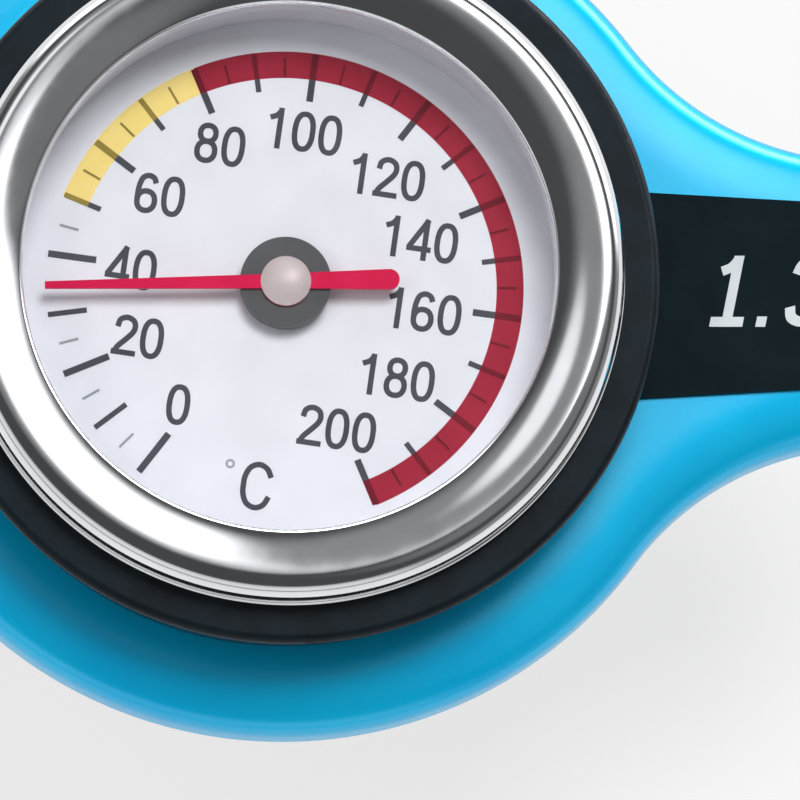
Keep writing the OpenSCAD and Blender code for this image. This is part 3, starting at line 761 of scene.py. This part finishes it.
# Strokes of each figure in a box one high, as the middles of its lines
FIGURES = {
    "0": [ring_points(0.255, 0.5, 0.185, 0.428, 56, 2.4)],
    "1": [line((0.30, 0), (0.30, 1)), smooth_run([(0.30, 0.93), (0.22, 0.81), (0.085, 0.735)])],
    "2": [
        smooth_run([(0.075, 0.68), (0.115, 0.855), (0.255, 0.928), (0.395, 0.86), (0.437, 0.72),
                    (0.40, 0.575), (0.265, 0.385), (0.125, 0.205), (0.075, 0.073)]),
        line((0.0, 0.073), (0.51, 0.073)),
    ],
    "3": [
        smooth_run([(0.07, 0.74), (0.12, 0.875), (0.255, 0.928), (0.39, 0.86), (0.42, 0.73), (0.37, 0.60),
                    (0.21, 0.545)]),
        smooth_run([(0.21, 0.545), (0.38, 0.48), (0.445, 0.32), (0.40, 0.15), (0.26, 0.073), (0.11, 0.13),
                    (0.06, 0.28)]),
    ],
    "4": [
        line((0.40, 1.0), (0.045, 0.29)),
        line((0.0, 0.275), (0.51, 0.275)),
        line((0.375, 0), (0.375, 1.0)),
    ],
    "6": [
        ring_points(0.258, 0.31, 0.182, 0.237, 44, 2.2),
        smooth_run([(0.428, 0.76), (0.375, 0.88), (0.262, 0.928), (0.145, 0.86), (0.09, 0.68), (0.074, 0.48),
                    (0.077, 0.31)]),
    ],
    "8": [
        ring_points(0.256, 0.735, 0.160, 0.193, 40, 2.2),
        ring_points(0.256, 0.305, 0.184, 0.232, 44, 2.2),
    ],
    "C": [
        smooth_run([(0.545, 0.70), (0.46, 0.86), (0.31, 0.928), (0.16, 0.85), (0.085, 0.67), (0.075, 0.5),
                    (0.085, 0.33), (0.16, 0.15), (0.31, 0.073), (0.46, 0.14), (0.545, 0.32)]),
    ],
    "o": [ring_points(0.13, 0.88, 0.07, 0.07, 28)],
    ".": [line((0.06, 0.0), (0.06, 0.145))],
}
# On the label the one has a foot
FOOTED_ONE = [
    line((0.30, 0.0), (0.30, 1.0)),
    smooth_run([(0.30, 0.95), (0.22, 0.84), (0.10, 0.78)]),
    line((0.07, 0.07), (0.53, 0.07)),
]
LABEL_FIGURES = {**FIGURES, "1": FOOTED_ONE}


def ribbon(run, width):
    """The four-sided faces of a line of one width, mitred where it turns."""
    same_place = 1e-6
    least_stretch = 0.5
    closed = (run[0] - run[-1]).length < same_place
    if closed:
        run = run[:-1]
    count = len(run)
    sides = []
    for i, p in enumerate(run):
        before = run[i - 1] if closed or i > 0 else p
        after = run[(i + 1) % count] if closed or i < count - 1 else p
        d = (after - p).normalized() + (p - before).normalized()
        d.normalize()
        edge = (p - before) if (p - before).length > 0 else (after - p)
        edge.normalize()
        n = Vector((-d.y, d.x))
        stretch = max(abs(n.dot(Vector((-edge.y, edge.x)))), least_stretch)
        sides.append((p + n * width / 2 / stretch, p - n * width / 2 / stretch))
    pairs = range(count if closed else count - 1)
    return [(sides[i][0], sides[i][1], sides[(i + 1) % count][1], sides[(i + 1) % count][0]) for i in pairs]


def ink_solid(name, polygons, z, thick, material):
    """One thin solid of flat polygons, merged where they overlap. A third of it is sunk below height z."""
    merge_gap = 1e-5
    points = []
    faces = []
    for polygon in polygons:
        area = sum(a.cross(b) for a, b in zip(polygon, [*polygon[1:], polygon[0]]))
        polygon = polygon if area > 0 else polygon[::-1]
        faces.append(list(range(len(points), len(points) + len(polygon))))
        points += polygon
    # Type 1 keeps what lies inside the given faces
    found = delaunay_2d_cdt(points, [], faces, 1, merge_gap)
    flat = bmesh.new()
    verts = [flat.verts.new((p.x, p.y, z - thick / 3)) for p in found[0]]
    kept = [f for f, source in zip(found[2], found[5]) if source]
    for f in kept:
        flat.faces.new([verts[i] for i in f])
    for v in [v for v in flat.verts if not v.link_faces]:
        flat.verts.remove(v)
    grown = bmesh.ops.extrude_face_region(flat, geom=flat.faces[:])
    moved = [g for g in grown["geom"] if isinstance(g, bmesh.types.BMVert)]
    bmesh.ops.translate(flat, verts=moved, vec=(0, 0, thick))
    bmesh.ops.recalc_face_normals(flat, faces=flat.faces)
    mesh = bpy.data.meshes.new(name)
    flat.to_mesh(mesh)
    flat.free()
    finish_mesh(name, mesh, material, "cap")


def text_polygons(text, height, stroke, pitch, centre=None, start=None, tilt=0.0, slant=0.0, widen=1.0,
                  figures=FIGURES):
    """Polygons of a line of figures, set by its centre or by its lower left corner."""
    drawn = []
    x = 0.0
    for mark in text:
        for run in figures[mark]:
            moved = [Vector(((p.x * widen + x) * height, p.y * height)) for p in run]
            drawn += ribbon(moved, stroke)
        x += pitch * (NARROW_SHARE if mark in NARROW_MARKS else 1.0)
    width = (x - pitch + FIGURE_W * widen) * height
    middle = Vector((width / 2, height / 2))
    turn = Matrix.Rotation(math.radians(tilt), 2)
    placed = []
    for polygon in drawn:
        leaned = [Vector((p.x + slant * p.y, p.y)) for p in polygon]
        if centre is not None:
            placed.append([turn @ (p - middle) + centre for p in leaned])
        else:
            placed.append([turn @ p + start for p in leaned])
    return placed


def scale_angle(value):
    return math.radians(SCALE_ZERO - SCALE_STEP * value)


def polar_point(radius, angle):
    return Vector((radius * math.cos(angle), radius * math.sin(angle)))


def sector(inner, outer, low, high):
    """Four-sided pieces of a ring between two scale values, one for each degree Celsius."""
    marks = [scale_angle(value) for value in range(low, high + 1)]
    return [
        [polar_point(inner, a), polar_point(outer, a), polar_point(outer, b), polar_point(inner, b)]
        for a, b in zip(marks, marks[1:])
    ]


def tick(value, inner, outer, width):
    along = polar_point(1, scale_angle(value))
    side = Vector((-along.y, along.x)) * width / 2
    return [along * inner + side, along * inner - side, along * outer - side, along * outer + side]


def print_arcs():
    red = sector(ARC_IN_R, ARC_OUT_R, RED_FROM, SCALE_END)
    ink_solid("dial_red_arc", red, DIAL_Z, INK_T, INK_RED)
    yellow = sector(ARC_IN_R, ARC_OUT_R, YELLOW_FROM, RED_FROM)
    ink_solid("dial_yellow_arc", yellow, DIAL_Z, INK_T, INK_YELLOW)


def print_ticks():
    """A tick at each ten degrees Celsius, tinted where it crosses a coloured arc, and fine ones between."""
    inner = []
    outer = {INK_DARK: [], INK_DEEP_YELLOW: [], INK_DEEP_RED: []}
    for value in range(0, SCALE_END + 1, 10):
        start, width = (LONG_TICK_IN_R, LONG_TICK_W) if value % 20 == 0 else (TICK_IN_R, TICK_W)
        inner.append(tick(value, start, ARC_IN_R, width))
        ink = INK_DARK if value < YELLOW_FROM else INK_DEEP_YELLOW if value < RED_FROM else INK_DEEP_RED
        outer[ink].append(tick(value, ARC_IN_R, TICK_OUT_R, width))
    ink_solid("dial_ticks", inner + outer[INK_DARK], DIAL_Z, 2 * INK_T, INK_DARK)
    fine = (
        ("dial_fine_ticks", 5, YELLOW_FROM, INK_GREY, []),
        ("dial_yellow_ticks", YELLOW_FROM + 5, RED_FROM, INK_DEEP_YELLOW, outer[INK_DEEP_YELLOW]),
        ("dial_red_ticks", RED_FROM + 5, SCALE_END, INK_DEEP_RED, outer[INK_DEEP_RED]),
    )
    for name, first, end, ink, long_ticks in fine:
        short_ticks = [tick(v, FINE_IN_R, FINE_OUT_R, FINE_W) for v in range(first, end, 10)]
        ink_solid(name, short_ticks + long_ticks, DIAL_Z, 2 * INK_T, ink)


def print_figures():
    """The numerals, whose outer ends lie on a circle, and the unit."""
    numerals = []
    for value, lean in NUMERAL_LEAN.items():
        text = str(value)
        a = scale_angle(value) + math.radians(lean)
        width = ((len(text) - 1) * DIGIT_PITCH + FIGURE_W * DIGIT_WIDEN) * DIGIT_H
        seen = a - math.radians(PRINT_TILT)
        reach = math.hypot(math.cos(seen) * width / 2, math.sin(seen) * DIGIT_H / 2)
        place = polar_point(NUMERAL_R - reach, a)
        numerals += text_polygons(
            text, DIGIT_H, STROKE, DIGIT_PITCH, centre=place, tilt=PRINT_TILT, widen=DIGIT_WIDEN
        )
    ink_solid("dial_numerals", numerals, DIAL_Z, INK_T, INK_DARK)
    unit = text_polygons(
        "C", UNIT_H, STROKE, DIGIT_PITCH, centre=UNIT_PLACE, tilt=PRINT_TILT, widen=UNIT_WIDEN
    )
    ink_solid("dial_unit", unit, DIAL_Z, INK_T, INK_DARK)
    degree_place = UNIT_PLACE + DEGREE_OFF
    degree = text_polygons("o", UNIT_H, DEGREE_STROKE, DIGIT_PITCH, start=degree_place, tilt=PRINT_TILT)
    ink_solid("dial_degree", degree, DIAL_Z, INK_T, INK_GREY)


def print_label():
    figure = text_polygons(
        LABEL_TEXT, LABEL_FIGURE_H, LABEL_STROKE, LABEL_PITCH,
        start=LABEL_PLACE, slant=LABEL_SLANT, figures=LABEL_FIGURES,
    )
    ink_solid("label_figure", figure, LABEL_TOP_Z, INK_T, INK_PALE)


print_arcs()
print_ticks()
print_figures()
print_label()


# Floor, light and camera


def sky(bearing, rise):
    """The direction at a bearing and a rise in degrees."""
    b, r = math.radians(bearing), math.radians(rise)
    return Vector((math.cos(r) * math.cos(b), math.cos(r) * math.sin(b), math.sin(r)))


def make_floor():
    """A white floor, whose shadow looks lighter to rays that see it, straight or in metal and glass."""
    mesh = bpy.data.meshes.new("floor")
    z = PROBE_TIP_Z * MM - FLOOR_GAP
    corners = [(FLOOR_HALF * x, FLOOR_HALF * y, z) for x, y in ((-1, -1), (1, -1), (1, 1), (-1, 1))]
    mesh.from_pydata(corners, [], [(0, 1, 2, 3)])
    s = Surface("floor_white", (0.92, 0.905, 0.91), roughness=0.7, Specular_IOR_Level=0.2)
    glow = s.nodes.new("ShaderNodeEmission")
    seen = rays(s.tree, "Is Camera Ray", "Is Glossy Ray", "Is Transmission Ray")
    mix = mix_shaders(s.tree, math_node(s.tree, "MULTIPLY", seen, FLOOR_GLOW), s.shader, glow)
    s.links.new(mix.outputs[0], s.nodes["Material Output"].inputs["Surface"])
    mesh.materials.append(s.material)
    link(bpy.data.objects.new("floor", mesh))


def make_world():
    """White to the camera, one even grey to matt surfaces, and a dark studio with screens to shiny ones."""
    world = bpy.data.worlds.new("studio")
    bpy.context.scene.world = world
    world.use_nodes = True
    tree = world.node_tree
    place = tree.nodes.new("ShaderNodeTexCoord").outputs["Generated"]

    def times(*values):
        return math_node(tree, "MULTIPLY", *values)

    def facing(bearing, rise):
        """Cosine between the view and a direction."""
        dot = tree.nodes.new("ShaderNodeVectorMath")
        dot.operation = "DOT_PRODUCT"
        dot.inputs[1].default_value = sky(bearing, rise)
        tree.links.new(place, dot.inputs[0])
        return dot.outputs["Value"]

    def fade(value, span):
        """From nought at the span's start to one at its end."""
        node = tree.nodes.new("ShaderNodeMapRange")
        node.interpolation_type = "SMOOTHSTEP"
        node.inputs["From Min"].default_value = span[0]
        node.inputs["From Max"].default_value = span[1]
        tree.links.new(value, node.inputs["Value"])
        return node.outputs["Result"]

    def background(tint):
        node = tree.nodes.new("ShaderNodeBackground")
        node.inputs["Color"].default_value = tint
        return node

    height = facing(0, 90)

    # The big screen: a wedge between two bearings, cut off below and short of overhead
    forward = facing(BIG_SCREEN["bearing"], 0)
    across = math_node(tree, "ABSOLUTE", facing(BIG_SCREEN["bearing"] + 90, 0))
    side = math_node(tree, "DIVIDE", across, forward)
    big = times(fade(forward, BIG_SCREEN["forward"]), fade(side, BIG_SCREEN["side"]))
    lights = [(times(big, fade(height, BIG_SCREEN["height"])), BIG_SCREEN["level"])]

    for screen in ROUND_SCREENS:
        lights.append((fade(facing(screen["bearing"], screen["rise"]), screen["span"]), screen["level"]))

    # Low light all round, and a bright band behind the cap and a weak one before it
    lights.append((fade(height, HORIZON["height"]), HORIZON["level"]))
    far_side = fade(facing(FAR_BAND["bearing"], 0), FAR_BAND["side"])
    lights.append((times(fade(height, FAR_BAND["height"]), far_side), FAR_BAND["level"]))
    near = times(fade(height, NEAR_BAND["height"]), fade(height, NEAR_BAND["foot"]))
    near_side = fade(facing(NEAR_BAND["bearing"], 0), NEAR_BAND["side"])
    lights.append((times(near, near_side), NEAR_BAND["level"]))

    total = DARK_LEVEL
    for light, level in lights:
        total = math_node(tree, "ADD", total, times(light, level))
    shiny = background(SHINY_TINT)
    tree.links.new(total, shiny.inputs["Strength"])
    plain = tree.nodes["Background"]
    plain.inputs["Color"].default_value = PLAIN_TINT
    plain.inputs["Strength"].default_value = PLAIN_LEVEL
    mirrored = mix_shaders(tree, rays(tree, "Is Glossy Ray", "Is Transmission Ray"), plain, shiny)
    seen = mix_shaders(tree, rays(tree, "Is Camera Ray"), mirrored, background(WHITE))
    tree.links.new(seen.outputs[0], tree.nodes["World Output"].inputs["Surface"])


def area_lamp(name, bearing, rise, size, power):
    """A round soft lamp that points at the cap. Shiny surfaces show the world's screens and not the lamp."""
    lamp = bpy.data.lights.new(name, "AREA")
    lamp.shape = "DISK"
    lamp.size = size
    lamp.energy = power
    obj = link(bpy.data.objects.new(name, lamp))
    obj.location = LAMP_DISTANCE * sky(bearing, rise)
    obj.rotation_mode = "QUATERNION"
    obj.rotation_quaternion = (-obj.location).to_track_quat("-Z", "Y")
    obj.visible_glossy = False


def make_camera():
    """A long lens that looks down on the dial, with the ears level in the picture."""
    back = sky(CAMERA_BEARING, 90 - CAMERA_TILT)
    right = Vector((1, 0, 0))
    upward = back.cross(right).normalized()
    across = upward.cross(back)
    camera = bpy.data.cameras.new("camera")
    camera.lens = CAMERA_LENS
    camera.sensor_width = CAMERA_SENSOR
    camera.clip_start, camera.clip_end = CAMERA_CLIP
    obj = link(bpy.data.objects.new("camera", camera))
    turn = Matrix((across, upward, back)).transposed().to_4x4()
    obj.matrix_world = Matrix.Translation(CAMERA_TARGET * MM + CAMERA_DISTANCE * back) @ turn
    bpy.context.scene.camera = obj


make_floor()
make_world()
for lamp_name, lamp_sizes in LAMPS.items():
    area_lamp(lamp_name, **lamp_sizes)
make_camera()
bpy.context.scene.view_settings.view_transform = "Standard"
